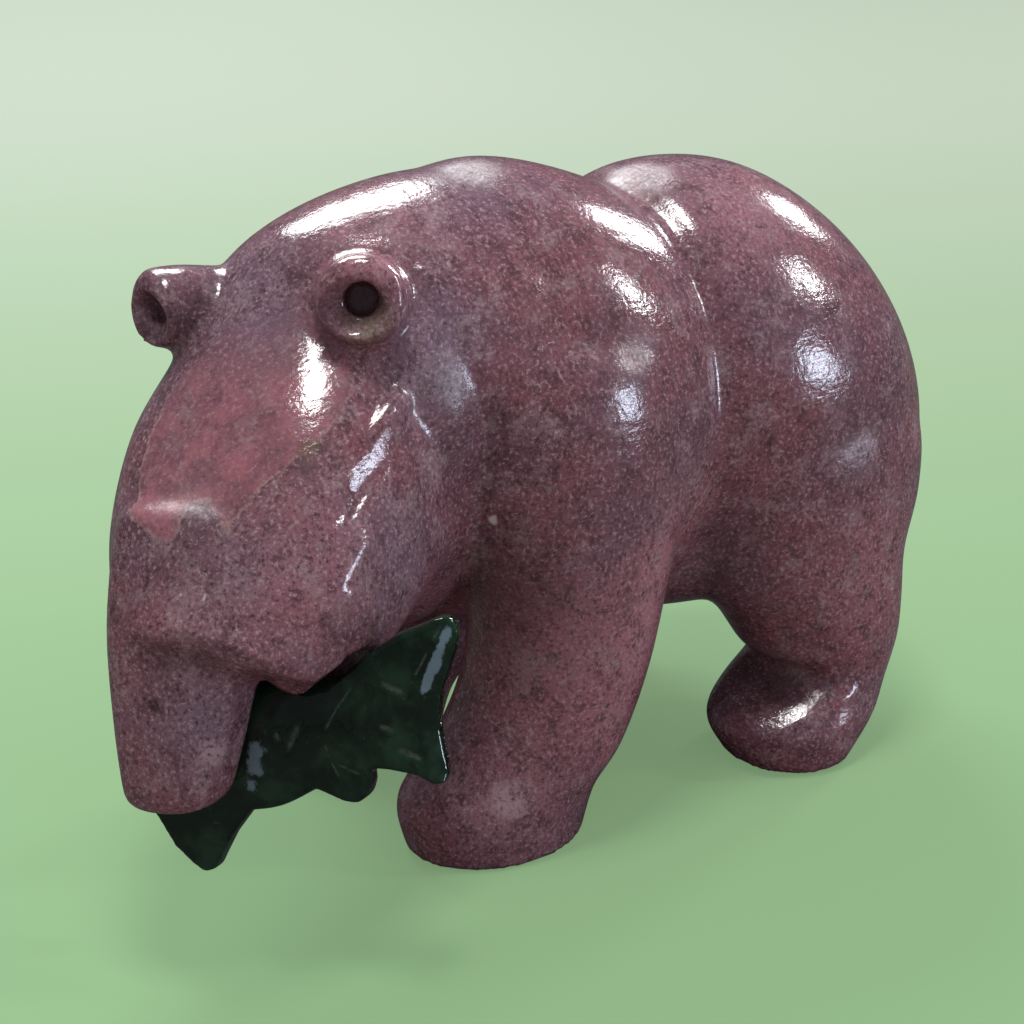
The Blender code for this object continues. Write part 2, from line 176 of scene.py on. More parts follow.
# Where the stone differs, and where shade, sheen and a glint are painted on it: a place, a reach in
# millimetres and how much
ROSY_SPOTS = (
    ((12.9, 23.6, 72.1), 9.0, 0.6), ((26.2, 37.1, 30.0), 7.0, 0.5), ((17.5, -32.1, 75.6), 4.5, 1.0),
    ((7.0, -25.8, 77.6), 9.0, 0.4), ((28.2, -47.7, 48.5), 7.0, 0.5), ((22.3, -56.5, 45.0), 6.0, 0.4),
    ((25.0, -12.1, 28.6), 9.0, 0.8), ((24.5, 33.0, 18.0), 6.0, 0.3), ((25.0, 4.5, 41.3), 5.0, 0.4),
    ((25.7, 1.9, 34.4), 5.0, 0.9), ((26.2, -1.2, 26.2), 5.0, 1.0), ((26.2, -5.5, 16.7), 5.0, 0.8),
    ((24.0, -18.0, 8.0), 8.0, 0.6), ((26.3, -48.0, 40.0), 4.0, 0.4),
)
# Mauve spots: greyer places in the stone, which on the muzzle and beside the left ear also paint a bluish
# sheen
MAUVE_SPOTS_AND_SHEEN = (
    ((24.3, -58.0, 31.0), 7.5, 0.9), ((18.5, -24.5, 66.0), 5.0, 0.8), ((20.5, -29.0, 60.5), 4.5, 0.6),
    ((6.2, -38.4, 69.6), 6.0, 0.5), ((-0.2, -37.3, 72.5), 5.0, 0.4), ((3.6, -13.1, 79.2), 8.0, 0.3),
    ((25.1, -51.9, 48.4), 6.0, 0.4), ((27.3, -35.0, 45.1), 7.0, 0.7),
)
BEIGE_SPOTS = (
    ((18.4, -33.0, 69.0), 3.2, 0.9), ((22.0, -42.9, 57.9), 1.9, 0.6), ((19.0, -35.0, 65.5), 1.8, 0.4),
)
# Pale spots: milky places in the stone, and a painted sheen on the front foot and the muzzle
PALE_SPOTS_AND_SHEEN = (
    ((24.3, -18.5, 9.0), 3.5, 1.0), ((25.4, -57.6, 27.5), 2.6, 0.9), ((15.0, -8.0, 73.5), 2.0, 0.4),
    ((22.9, -43.5, 56.5), 1.6, 0.6), ((21.8, -37.0, 60.8), 2.5, 0.6),
)
# A white grain in the stone on the front leg, and a painted glint by the brow
WHITE_GRAIN_AND_GLINT = (((21.2, -18.9, 44.1), 0.6, 1.6), ((23.6, -56.2, 44.3), 0.55, 1.4))
# Dark spots: partly dark stains in the stone, partly painted shade in the ear holes, the nostril, under the
# brow, in the hind paws' hollows and between the legs
DARK_STAIN_AND_SHADE_SPOTS = (
    ((20.2, -17.3, 33.3), 9.0, 0.5), ((21.9, 25.0, 11.2), 4.0, 1.0), ((12.0, 20.0, 30.0), 10.0, 0.8),
    ((26.0, -42.5, 33.0), 6.0, 0.6), ((15.5, -16.0, 5.0), 9.0, 0.3), ((16.1, -32.5, 71.2), 2.3, 2.0),
    ((25.0, -57.2, 38.2), 2.0, 0.6), ((29.0, -52.8, 36.8), 2.0, 0.6), ((20.5, -61.9, 32.0), 0.6, 1.6),
    ((20.5, -60.7, 37.9), 2.5, 0.5), ((23.2, -43.9, 56.2), 0.9, 0.8),
)
DULL_SPOTS = (
    ((2.4, 15.4, 75.3), 4.5, 1.0), ((2.6, -9.6, 79.5), 4.0, 1.0), ((20.9, -25.0, 61.0), 3.5, 0.8),
    ((23.2, -0.6, 60.7), 2.5, 0.8), ((25.8, 32.9, 43.2), 3.0, 0.7), ((16.2, -54.5, 52.2), 4.5, 0.9),
)

# Lines cut in the fish, in millimetres along it to the left, then down
FISH_BARS = (
    ((16.7, 8.6), (14.5, 11.0), (12.6, 13.6)),
    ((12.6, 14.6), (12.7, 16.4), (13.5, 19.2)),
    ((13.3, 17.2), (14.7, 17.9), (16.1, 18.6)),
    ((26.5, 4.3), (27.4, 3.5), (28.0, 2.9)),
    ((23.8, 8.2), (24.8, 6.9), (25.9, 5.4)),
)
FISH_SCALES = (
    ((10.6, 11.6), (9.0, 13.9), (7.8, 16.1)),
    ((19.3, 8.3), (21.5, 9.4), (23.2, 10.2)),
    ((18.6, 13.0), (19.8, 13.6), (21.0, 13.9)),
    ((20.1, 15.6), (22.1, 16.6), (24.0, 17.4)),
    ((7.0, 12.8), (7.2, 13.6), (7.4, 14.4)),
)

# The fish's painted bluish sheen, in spots and in a streak along its tail, and the bevel along the outer
# rim of its tail
FISH_PAINTED_SHEEN = (
    ((4.8, 14.6, 2.2), 1.5, 0.8), ((3.9, 16.9, 2.2), 1.4, 0.9), ((2.8, 19.0, 2.0), 1.1, 0.7),
    ((-1.9, 23.1, 1.3), 1.0, 0.5),
)
TAIL_PAINTED_GLEAM = ((29.0, 2.2), (28.0, 4.3), (26.6, 6.8), (25.2, 9.0), (23.8, 11.4))
TAIL_RIM = ((28.9, 2.6), (28.5, 5.6), (26.3, 10.0), (25.4, 14.2), (25.7, 18.9))
TAIL_RIM_WIDTH = 1.9
TAIL_RIM_SLOPE = 0.55

# The rhodonite's colours: its clouds, its rosier and greyer places, and its stains; the greyer and milky
# colours also paint a sheen, and the deep brown paints shade as well as dark stains
PLUM = (0.150, 0.057, 0.071, 1.0)
VIOLET = (0.110, 0.056, 0.075, 1.0)
ROSY = (0.265, 0.116, 0.142, 1.0)
MAUVE_AND_SHEEN = (0.135, 0.103, 0.142, 1.0)
STAIN_BROWN = (0.115, 0.064, 0.050, 1.0)
STAIN_BEIGE = (0.175, 0.132, 0.094, 1.0)
MILKY_AND_SHEEN = (0.300, 0.215, 0.235, 1.0)
DEEP_BROWN_AND_SHADE = (0.036, 0.016, 0.018, 1.0)

# The colours of the forehead's patch, of its raised lower edge and of the shade below that
PATCH_ROSE = (0.235, 0.086, 0.104, 1.0)
PATCH_WINE = (0.165, 0.066, 0.083, 1.0)
PATCH_EDGE = (0.330, 0.185, 0.180, 1.0)
PATCH_SHADE = (0.050, 0.028, 0.032, 1.0)

# The colours of the rhodonite's mottling and flecks; the sparks' colour also paints a glint by the brow
BROWN_MOTTLE = (0.062, 0.028, 0.034, 1.0)
GREY_MOTTLE = (0.215, 0.148, 0.165, 1.0)
PALE_FLECK = (0.300, 0.200, 0.225, 1.0)
DARK_FLECK = (0.028, 0.010, 0.014, 1.0)
SPARK_AND_GLINT = (0.450, 0.370, 0.360, 1.0)

# The jade's colours; its bluish one is a painted sheen
JADE_DARK = (0.0030, 0.0085, 0.0052, 1.0)
JADE_GREEN = (0.0100, 0.0300, 0.0165, 1.0)
JADE_SPECK = (0.035, 0.062, 0.042, 1.0)
JADE_SHEEN_BLUE = (0.110, 0.165, 0.200, 1.0)
JADE_CUT = (0.070, 0.095, 0.074, 1.0)

# How strongly the two stones bend light
RHODONITE_IOR = 1.6
JADE_IOR = 1.61

# The photo's view: where it looks from, and the pixel that shows the aim
VIEW_AZIMUTH = 56.0
VIEW_ELEVATION = 22.0
VIEW_DISTANCE = 0.285
FOCAL_PIXELS = 2250.0
FRAME_PIXELS = 1024.0
SENSOR_WIDTH = 36.0
NEAREST_SEEN = 0.01
AIM = (0.0, 0.0, 38.0)
AIM_PIXEL = (525.0, 480.0)

# The floor: how far it reaches, and its colours far off, near by and as the stones see it
FLOOR_REACH = 3.0
FLOOR_FAR = (0.255, 0.289, 0.239, 1.0)
FLOOR_NEAR = (0.165, 0.264, 0.142, 1.0)
FLOOR_RIGHT = (0.87, 0.88, 0.85, 1.0)
FLOOR_UNSEEN = (0.32, 0.23, 0.22, 1.0)
FLOOR_MIRRORED = (0.045, 0.050, 0.045, 1.0)
FLOOR_SHADED = (0.58, 0.58, 0.58, 1.0)
FLOOR_GLOW = 1.0
BLACK = (0.0, 0.0, 0.0, 1.0)

# The surroundings: their light, what gloss mirrors of them, and the height that the lamps face
ROOM_LIGHT = (0.62, 0.66, 0.66, 1.0)
ROOM_MIRRORED = (0.09, 0.085, 0.10, 1.0)
LAMP_AIM_HEIGHT = 0.04


def share(millimetres):
    """A carved size, given in millimetres of the bear at its drawn length, in metres."""
    return millimetres * LENGTH / DRAWN_LENGTH


def place(x, y, z):
    return Vector((share(x), share(y), share(z)))


def head_axes(yaw, roll):
    """The head's own directions: to its left, forward and up."""
    forward = Vector((sin(yaw), -cos(yaw), 0.0))
    left = Vector((cos(yaw), sin(yaw), 0.0))
    up = Vector((0.0, 0.0, 1.0))
    return cos(roll) * left + sin(roll) * up, forward, cos(roll) * up - sin(roll) * left


def head_place(left, forward, up):
    """A point of the head, measured from the crown between the ears."""
    to_left, ahead, upward = head_axes(HEAD_YAW, HEAD_ROLL)
    offset = share(left) * to_left + share(forward) * ahead + share(up) * upward
    return place(*CROWN) + offset


def mouth_axes():
    """The bite's directions: to the bear's left, down the muzzle, and out of the face."""
    to_left, ahead, upward = head_axes(MOUTH_YAW, MOUTH_ROLL)
    down = cos(MOUTH_DIP) * ahead - sin(MOUTH_DIP) * upward
    out = sin(MOUTH_DIP) * ahead + cos(MOUTH_DIP) * upward
    return to_left, down, out


def mouth_place(left, down, out):
    """A point measured from the middle of the bite, level with the muzzle's root."""
    to_left, downward, outward = mouth_axes()
    offset = share(left) * to_left + share(down) * downward + share(out - BITE_DEPTH) * outward
    return head_place(*MUZZLE_ROOT) + offset


def ring(centre, across, through, width, depth, square=2.0):
    """A station of a loft: half sizes in millimetres, and 2 is an ellipse, more is squarer."""
    return [*centre, *across, *through, share(width), share(depth), square]


def level_ring(x, y, z, width, depth, square=2.0):
    """A station of an upright form, such as a leg."""
    return ring(place(x, y, z), (1, 0, 0), (0, -1, 0), width, depth, square)


def body_ring(x, y, z, width, depth, square=2.0):
    """A station of a form that runs along the back."""
    return ring(place(x, y, z), (1, 0, 0), (0, 0, 1), width, depth, square)


def face_ring(forward, up, dip, width, depth, square=2.0, left=0.0, tilt=0.0):
    """A station of the head that touches the face line, its left end tilted down."""
    to_left, ahead, upward = head_axes(HEAD_YAW, HEAD_ROLL)
    out = sin(radians(dip)) * ahead + cos(radians(dip)) * upward
    down = cos(radians(dip)) * ahead - sin(radians(dip)) * upward
    across = cos(radians(tilt)) * to_left + sin(radians(tilt)) * down
    centre = head_place(left, forward, up) - share(depth) * out
    return ring(centre, across, out, width, depth, square)


def neck_ring(x, y, z, yaw, roll, dip, width, depth, square=2.0):
    """A station of the neck, which turns from the back's line to the head's."""
    to_left, ahead, upward = head_axes(radians(yaw), radians(roll))
    out = sin(radians(dip)) * ahead + cos(radians(dip)) * upward
    return ring(place(x, y, z), to_left, out, width, depth, square)


def between(before, start, end, after, step):
    """One value on the smooth curve from start to end."""
    slope_in = (end - before) / 2
    slope_out = (after - start) / 2
    turn = step * step * (3 - 2 * step)
    lead = step * (1 - step) ** 2 * slope_in
    tail = step * step * (step - 1) * slope_out
    return start + (end - start) * turn + lead + tail


def smooth_steps(rings):
    """A row of stations, with RING_STEPS smooth steps from each one to the next."""
    steps = []
    last = len(rings) - 1
    for index in range(last):
        corners = (rings[max(index - 1, 0)], rings[index], rings[index + 1], rings[min(index + 2, last)])
        for count in range(RING_STEPS):
            steps.append([between(*values, count / RING_STEPS) for values in zip(*corners)])
    return steps + [rings[last]]


def add_ring(shell, station):
    """Draw one station and return its edges."""
    centre = Vector(station[0:3])
    across = Vector(station[3:6]).normalized()
    through = Vector(station[6:9])
    through = (through - through.dot(across) * across).normalized()
    width, depth, square = station[9:12]
    drawn = bmesh.ops.create_circle(shell, segments=RING_POINTS, radius=1.0)
    points = drawn["verts"]
    for point in points:
        side = copysign(abs(point.co.x) ** (2 / square), point.co.x)
        front = copysign(abs(point.co.y) ** (2 / square), point.co.y)
        point.co = centre + side * width * across + front * depth * through
    return list({edge for point in points for edge in point.link_edges})


def shrunk(station, direction, turn, bulge):
    """A ring of the rounded end past a station."""
    end = list(station)
    for axis in range(3):
        end[axis] += direction[axis] * bulge * sin(turn)
    end[9] *= cos(turn)
    end[10] *= cos(turn)
    return end


def add_loft(shell, rings, bulge=0.7):
    """Skin a row of stations and round both of its ends."""
    rings = smooth_steps(rings)
    ends = []
    for end, inner in ((rings[0], rings[1]), (rings[-1], rings[-2])):
        direction = (Vector(end[0:3]) - Vector(inner[0:3])).normalized()
        reach = bulge * min(end[9], end[10])
        ends.append([shrunk(end, direction, radians(turn), reach) for turn in ROUND_END_TURNS])
    loops = [add_ring(shell, station) for station in ends[0][::-1] + rings + ends[1]]
    for first, second in zip(loops, loops[1:]):
        bmesh.ops.bridge_loops(shell, edges=first + second)
    for loop in (loops[0], loops[-1]):
        bmesh.ops.edgeloop_fill(shell, edges=loop)


def add_ball(shell, centre, radii, turn=None):
    """An ellipsoid with half sizes in millimetres."""
    matrix = Matrix.Translation(centre) @ (turn or Matrix.Identity(4))
    matrix = matrix @ Matrix.Diagonal([share(radius) for radius in radii] + [1.0])
    bmesh.ops.create_icosphere(shell, subdivisions=5, radius=1.0, matrix=matrix)


def add_rump(shell):
    add_loft(shell, [
        body_ring(0, 4, 48, 18, 22),
        body_ring(0, 13.5, 47.9, 22.8, 27.2),
        body_ring(0, 22, 47.3, 25.2, 29.2),
        body_ring(0, 32, 46.2, 25.6, 28.6),
        body_ring(0, 41, 44.6, 24.0, 25.0),
        body_ring(0, 48.9, 40.7, 19.6, 21.2),
        body_ring(0, 54.2, 38.9, 13.4, 14.5),
        body_ring(0, 56.6, 39.2, 6.8, 9.1),
    ], bulge=0.25)


def add_shoulders(shell):
    add_loft(shell, [
        body_ring(0, 21, 47, 17, 21),
        body_ring(0, 13.5, 47.2, 22.8, 26.4),
        body_ring(0, 4, 48.6, 24.8, 29.2),
        body_ring(0, -5, 50.5, 24.0, 29.5),
        body_ring(0, -13, 51.5, 21.5, 28.0),
    ])


def add_belly(shell):
    add_loft(shell, [
        body_ring(0, 2, 37.6, 18, 15.5, 2.4),
        body_ring(0, 12, 36.4, 19.2, 16.2, 2.7),
        body_ring(0, 23, 36.2, 20.0, 17.4, 2.7),
    ])


def add_front_leg(shell, side, ahead):
    add_loft(shell, [
        level_ring(side * 10.0, -4, 66, 7, 11.5),
        level_ring(side * 13.2, -4.3, 60, 11, 15.8, 2.0),
        level_ring(side * 14.6, -4.2, 50, 12, 16.7, 2.1),
        level_ring(side * 15.5, -5, 40, 11.5, 15.5, 2.2),
        level_ring(side * 16.0, -4.8 - ahead * 0.3, 30, 11.0, 12.9),
        level_ring(side * 16.2, -6.6 - ahead * 0.6, 20, 10.4, 12.2),
        level_ring(side * 16.0, -10.7 - ahead, 11, 10.2, 12.9),
        level_ring(side * 15.8, -14.8 - ahead, 6, 10.0, 13.2),
        level_ring(side * 15.8, -15.3 - ahead, 0, 9.4, 11.6),
    ])


def add_hind_leg(shell, side, ahead):
    add_loft(shell, [
        level_ring(side * 12.0, 31 - ahead * 0.2, 52, 11, 14),
        level_ring(side * 13.5, 32.3 - ahead * 0.3, 43, 12.5, 18.7),
        level_ring(side * 14.6, 32.5 - ahead * 0.5, 34, 12.0, 18.8),
        level_ring(side * 15.4, 32.1 - ahead * 0.6, 26, 11.6, 16.4),
        level_ring(side * 16.4, 34.0 - ahead * 0.7, 20, 11.0, 13.3),
        level_ring(side * 17.2, 35.2 - ahead * 0.85, 15.0, 9.9, 11.4),
        level_ring(side * 17.3, 36.0 - ahead * 0.95, 12.2, 9.5, 9.4),
        level_ring(side * 17.8, 32.7 - ahead, 8.8, 9.6, 11.5),
        level_ring(side * 18.4, 30.1 - ahead, 5.0, 10.1, 11.8),
        level_ring(side * 18.4, 29.3 - ahead, 0, 9.2, 8.0),
    ])


def add_neck_and_face(shell):
    add_loft(shell, [
        neck_ring(0.0, 0, 51.5, 0, 0, 0, 22, 26.5),
        neck_ring(0.5, -12, 52.5, 6, 2, 6, 22.5, 27.3),
        neck_ring(1.3, -23, 52.0, 16, 5, 20, 21.2, 26.0),
        face_ring(0.0, -0.8, 36, 18.4, 21.3, 2.2, left=-0.2),
        face_ring(10, -9, 46, 18.4, 18.5, 2.6, left=-0.6),
        face_ring(19, -19, 54, 17.0, 15, 2.7, left=-0.4, tilt=3),
        face_ring(26.0, -29.8, 66, 13.6, 12, 2.6, left=-0.6, tilt=13),
    ], bulge=0.12)
    for side in (-1, 1):
        add_ball(shell, head_place(side * 7.0 + 2.0, 13, -31.5), (6.2, 8, 9.5))


def add_ruff(shell):
    add_ball(shell, place(4, -24, 46.5), (16.5, 11.5, 20))
    for side in (-1, 1):
        add_ball(shell, place(side * 10.5 + 0.2, -25, 56), (11.0, 12, 15))


def ear_axes(side):
    """An ear's directions: out of its cup, level across it, and down its lip."""
    to_left, ahead, upward = head_axes(HEAD_YAW, HEAD_ROLL)
    sideways, forward, rise = EAR_FACING
    out = (side * sideways * to_left + forward * ahead + rise * upward).normalized()
    across = out.cross(Vector((0.0, 0.0, 1.0))).normalized()
    return out, across, out.cross(across)


def ear_ring(side, back, radius):
    out, across, downward = ear_axes(side)
    centre = head_place(side * EAR_SPREAD, EAR_FORWARD, EAR_HEIGHT) - share(back) * out
    return ring(centre, across, downward, radius, radius)


def add_ear(shell, side):
    size = 1.0 if side > 0 else RIGHT_EAR_SIZE
    add_loft(shell, [ear_ring(side, back, size * radius) for back, radius in EAR_STATIONS], bulge=0.2)


def jaw_ring(down, width, depth):
    """A station of the lower jaw, which touches the back of the bite."""
    to_left, _, outward = mouth_axes()
    half_bite = FISH_THICKNESS / 2 + MOUTH_CLEARANCE
    centre = mouth_place(0, down, 0) - (half_bite + share(depth) - UNION_GRAIN) * outward
    return ring(centre, to_left, outward, width, depth, JAW_SQUARENESS)


def add_lower_jaw(shell):
    add_loft(shell, [
        jaw_ring(-6, 8, 5),
        jaw_ring(3, 7.5, 4.5),
        jaw_ring(11, 7.0, 4.0),
        jaw_ring(15.5, 6.0, 3.6),
    ], bulge=0.6)


def add_muzzle(shell):
    add_loft(shell, [
        face_ring(20.0, -18, 70, 8.9, 6, 2.6, left=-3.7),
        face_ring(24.5, -29, 79, 9.1, 6, 2.8, left=-4.0),
        face_ring(27.0, -40, 81, 7.4, 5.6, 2.7, left=-5.4),
        face_ring(28.3, -47, 84, 6.0, 5.0, 2.6, left=-6.1),
    ], bulge=0.5)


def frame_matrix(origin, across, along):
    """A local frame: its X runs across, its Y along, and its origin is at a point."""
    across = across.normalized()
    normal = across.cross(along).normalized()
    along = normal.cross(across)
    matrix = Matrix((across, along, normal)).transposed().to_4x4()
    return Matrix.Translation(origin) @ matrix


def stone_object(name, shell):
    """Put a finished shell into the scene."""
    bmesh.ops.recalc_face_normals(shell, faces=shell.faces)
    mesh = bpy.data.meshes.new(name)
    shell.to_mesh(mesh)
    shell.free()
    stone = bpy.data.objects.new(name, mesh)
    bpy.context.scene.collection.objects.link(stone)
    return stone


def settle(stone):
    """Apply the modifiers of a stone."""
    graph = bpy.context.evaluated_depsgraph_get()
    finished = bpy.data.meshes.new_from_object(stone.evaluated_get(graph))
    stone.modifiers.clear()
    stone.data = finished


def remesh(stone, grain):
    skin = stone.modifiers.new("skin", "REMESH")
    skin.mode = "VOXEL"
    skin.voxel_size = grain
    skin.use_smooth_shade = True


def soften(stone, steps):
    polish = stone.modifiers.new("polish", "SMOOTH")
    polish.factor = 0.5
    polish.iterations = steps


def thin_out(stone, triangles):
    count = 2 * len(stone.data.polygons)
    if count > triangles:
        fewer = stone.modifiers.new("fewer_faces", "DECIMATE")
        fewer.ratio = triangles / count


def cut(stone, shell):
    """Cut a closed shell out of a stone."""
    guide = stone_object("cutter", shell)
    boolean = stone.modifiers.new("cut", "BOOLEAN")
    boolean.operation = "DIFFERENCE"
    boolean.solver = "EXACT"
    boolean.object = guide
    settle(stone)
    bpy.data.objects.remove(guide)


def bite_shell():
    """The slot between the jaws, from the corner of the mouth down past the nose."""
    shell = bmesh.new()
    to_left, down, out = mouth_axes()
    middle = mouth_place(0, MOUTH_CORNER, 0) + down * LENGTH / 2
    size = Matrix.Diagonal((LENGTH, LENGTH, FISH_THICKNESS + 2 * MOUTH_CLEARANCE, 1.0))
    bmesh.ops.create_cube(shell, size=1.0, matrix=frame_matrix(middle, to_left, down) @ size)
    return shell


def tail_room_shell():
    """Clears the cheek in front of the tail, from the back of the bite outward."""
    shell = bmesh.new()
    half_bite = FISH_THICKNESS / 2 + MOUTH_CLEARANCE
    add_plate(shell, TAIL_ROOM, -half_bite, share(TAIL_ROOM_REACH))
    return shell


def ear_cup_shell(side):
    """The open hollow around an ear's hole."""
    shell = bmesh.new()
    station = ear_ring(side, 0, 1)
    across = Vector(station[3:6])
    down = Vector(station[6:9])
    centre = Vector(station[0:3]) + share(side * EAR_CUP_INWARD) * across + share(EAR_CUP_DROP) * down
    add_ball(shell, centre, EAR_CUP, frame_matrix(Vector((0, 0, 0)), across, down))
    return shell


def ear_hole_shell(side):
    """The drilled hole of an ear."""
    shell = bmesh.new()
    station = ear_ring(side, 0, 1)
    matrix = frame_matrix(Vector(station[0:3]), Vector(station[3:6]), Vector(station[6:9]))
    bmesh.ops.create_cone(
        shell, cap_ends=True, segments=EAR_HOLE_SIDES, radius1=EAR_HOLE_DIAMETER / 2,
        radius2=EAR_HOLE_DIAMETER / 2, depth=2 * EAR_HOLE_DEPTH, matrix=matrix,
    )
    return shell


def floor_shell():
    """All that lies below the soles."""
    shell = bmesh.new()
    size = 2 * LENGTH
    matrix = Matrix.Translation((0, 0, -size / 2)) @ Matrix.Scale(size, 4)
    bmesh.ops.create_cube(shell, size=1.0, matrix=matrix)
    return shell


def carve_bear():
    shell = bmesh.new()
    add_rump(shell)
    add_shoulders(shell)
    add_front_leg(shell, 1, 0)
    add_front_leg(shell, -1, FRONT_STEP)
    add_hind_leg(shell, 1, 0)
    add_hind_leg(shell, -1, HIND_STEP)
    add_belly(shell)
    add_ruff(shell)
    add_neck_and_face(shell)
    add_muzzle(shell)
    add_lower_jaw(shell)
    for side in (-1, 1):
        add_ear(shell, side)
    bear = stone_object("polished_bear", shell)
    remesh(bear, UNION_GRAIN)
    soften(bear, SOFTEN_STEPS)
    settle(bear)
    cut(bear, floor_shell())
    cut(bear, bite_shell())
    cut(bear, tail_room_shell())
    for side in (-1, 1):
        cut(bear, ear_cup_shell(side))
        cut(bear, ear_hole_shell(side))
    remesh(bear, SKIN_GRAIN)
    soften(bear, POLISH_STEPS)
    settle(bear)
    draw_bear_lines(bear)
    thin_out(bear, BEAR_TRIANGLES)
    settle(bear)
    return bear


def fish_ring(along, drop, height, fullness):
    """A station across the fish, as full as a share of FISH_THICKNESS."""
    _, down, out = mouth_axes()
    half = fullness * FISH_THICKNESS / 2
    return [*mouth_place(along, drop, 0), *down, *out, share(height), half, FISH_SQUARENESS]


def add_fish_body(shell):
    add_loft(shell, [
        fish_ring(-11.8, 16.8, 3.2, 0.61),
        fish_ring(-8.5, 16.0, 5.5, 0.91),
        fish_ring(-3.0, 15.3, 6.7, 1.0),
        fish_ring(4.5, 14.9, 7.2, 1.0),
        fish_ring(10.0, 14.0, 6.2, 0.96),
        fish_ring(15.0, 12.8, 5.2, 0.74),
    ], bulge=0.6)


def add_plate(shell, outline, back, front):
    """A flat form with the given outline in the bite's plane, from back to front of it."""
    out = mouth_axes()[2]
    corners = [shell.verts.new(mouth_place(along, drop, 0) + back * out) for along, drop in outline]
    face = shell.faces.new(corners)
    raised = bmesh.ops.extrude_face_region(shell, geom=[face])
    points = [item for item in raised["geom"] if isinstance(item, bmesh.types.BMVert)]
    bmesh.ops.translate(shell, verts=points, vec=(front - back) * out)


def carve_fish():
    shell = bmesh.new()
    add_fish_body(shell)
    for outline in (TAIL_FIN, BELLY_FIN, CHIN_FIN):
        add_plate(shell, outline, -FIN_THICKNESS / 2, FIN_THICKNESS / 2)
    fish = stone_object("polished_fish", shell)
    remesh(fish, FISH_GRAIN)
    soften(fish, FISH_POLISH_STEPS)
    settle(fish)
    draw_fish_lines(fish)
    return fish


def line_path(corners):
    """A smooth line through some places of the drawn bear, in metres."""
    return np.array(smooth_steps([list(place(*corner)) for corner in corners]))


def mirrored(corners):
    """The same line on the bear's right side."""
    return tuple((-x, y, z) for x, y, z in corners)


def along_line(points, normals, path):
    """How far each point of a skin is from a line, how far across it on the skin, and its share along."""
    closest = np.full(len(points), np.inf)
    across = np.zeros(len(points))
    along = np.zeros(len(points))
    for index, (start, end) in enumerate(zip(path, path[1:])):
        run = end - start
        step = np.clip((points - start) @ run / (run @ run), 0, 1)
        gap = points - start - step[:, None] * run
        away = np.linalg.norm(gap, axis=1)
        side = np.einsum("ij,ij->i", gap, np.cross(normals, run)) / np.linalg.norm(run)
        level = np.sqrt(np.maximum(away**2 - np.einsum("ij,ij->i", gap, normals) ** 2, 0))
        nearer = away < closest
        closest[nearer] = away[nearer]
        across[nearer] = np.copysign(level, side)[nearer]
        along[nearer] = (index + step[nearer]) / (len(path) - 1)
    return closest, across, along


def near_line(points, path, reach):
    """Which points lie within reach of the box around a line."""
    return np.all((points > path.min(axis=0) - reach) & (points < path.max(axis=0) + reach), axis=1)


def move_skin(stone, points):
    """Move every vertex of a stone to its new place."""
    stone.data.vertices.foreach_set("co", points.ravel())
    stone.data.update()


def groove(across, width):
    return np.exp(-((across / width) ** 2))


def crest(across, width):
    return np.exp(-np.abs(across) / width)


def draw_line(stone, path, shape, depth, width, taper=0.2):
    """Press a tool's shape into a stone along a line, fading at both ends, and return its mark."""
    depth, width = share(depth), share(width)
    points = vertex_places(stone.data)
    normals = vertex_normals(stone.data)
    reach = 5 * width + share(1.5)
    near = near_line(points, path, reach)
    away, across, along = along_line(points[near], normals[near], path)
    fade = np.clip(np.minimum(along, 1 - along) / taper, 0, 1)
    strength = shape(across, width) * fade * fade * (3 - 2 * fade) * (away < reach)
    points[near] -= (depth * strength)[:, None] * normals[near]
    move_skin(stone, points)
    mark = np.zeros(len(points))
    mark[near] = strength
    return mark


def draw_bear_lines(bear):
    """The waist, the lines of cheek, brow, mouth and nape, the hind paws' shelves, and the pits."""
    for corners in (WAIST_LINE, mirrored(WAIST_LINE)):
        draw_line(bear, line_path(corners), groove, 0.45, 1.6, taper=0.12)
    cut_facet(bear, line_path(CHEEK_LINE), CHEEK_RISE, CHEEK_TILT, CHEEK_WIDTH)
    draw_line(bear, line_path(JOWL_LINE), groove, -0.3, 1.3)
    draw_line(bear, line_path(BROW_LINE), crest, -0.45, 0.8)
    draw_line(bear, line_path(BROW_GROOVE), groove, 0.7, 1.2)
    draw_line(bear, line_path(MOUTH_CORNER_LINE), crest, -0.4, 0.8)
    draw_line(bear, line_path(NAPE_LINE), crest, -0.35, 0.9)
    for corners in (PAW_HOLLOW, mirrored(PAW_HOLLOW)):
        draw_line(bear, line_path(corners), groove, 0.5, 2.2)
    for corners in (PAW_LINE, mirrored(PAW_LINE)):
        draw_line(bear, line_path(corners), crest, -0.5, 1.0)
    for pit in SNOUT_PITS:
        dimple(bear, place(*pit), 0.6, 0.8)


def cut_facet(stone, path, rises, tilts, width):
    """Turn a strip of skin along a line to its own slope, as one stroke of a chisel leaves it."""
    points = vertex_places(stone.data)
    normals = vertex_normals(stone.data)
    reach = share(2 * width)
    near = near_line(points, path, reach)
    away, across, along = along_line(points[near], normals[near], path)
    stations = np.linspace(0, 1, len(rises))
    rise = share(np.interp(along, stations, rises)) + np.interp(along, stations, tilts) * across
    room = share(width) * (FACET_END_WIDTH + (1 - FACET_END_WIDTH) * np.sin(np.pi * along))
    fade = np.clip(np.minimum(along, 1 - along) / FACET_TAPER, 0, 1) * np.exp(-((away / room) ** 4))
    points[near] += (rise * fade)[:, None] * normals[near]
    move_skin(stone, points)


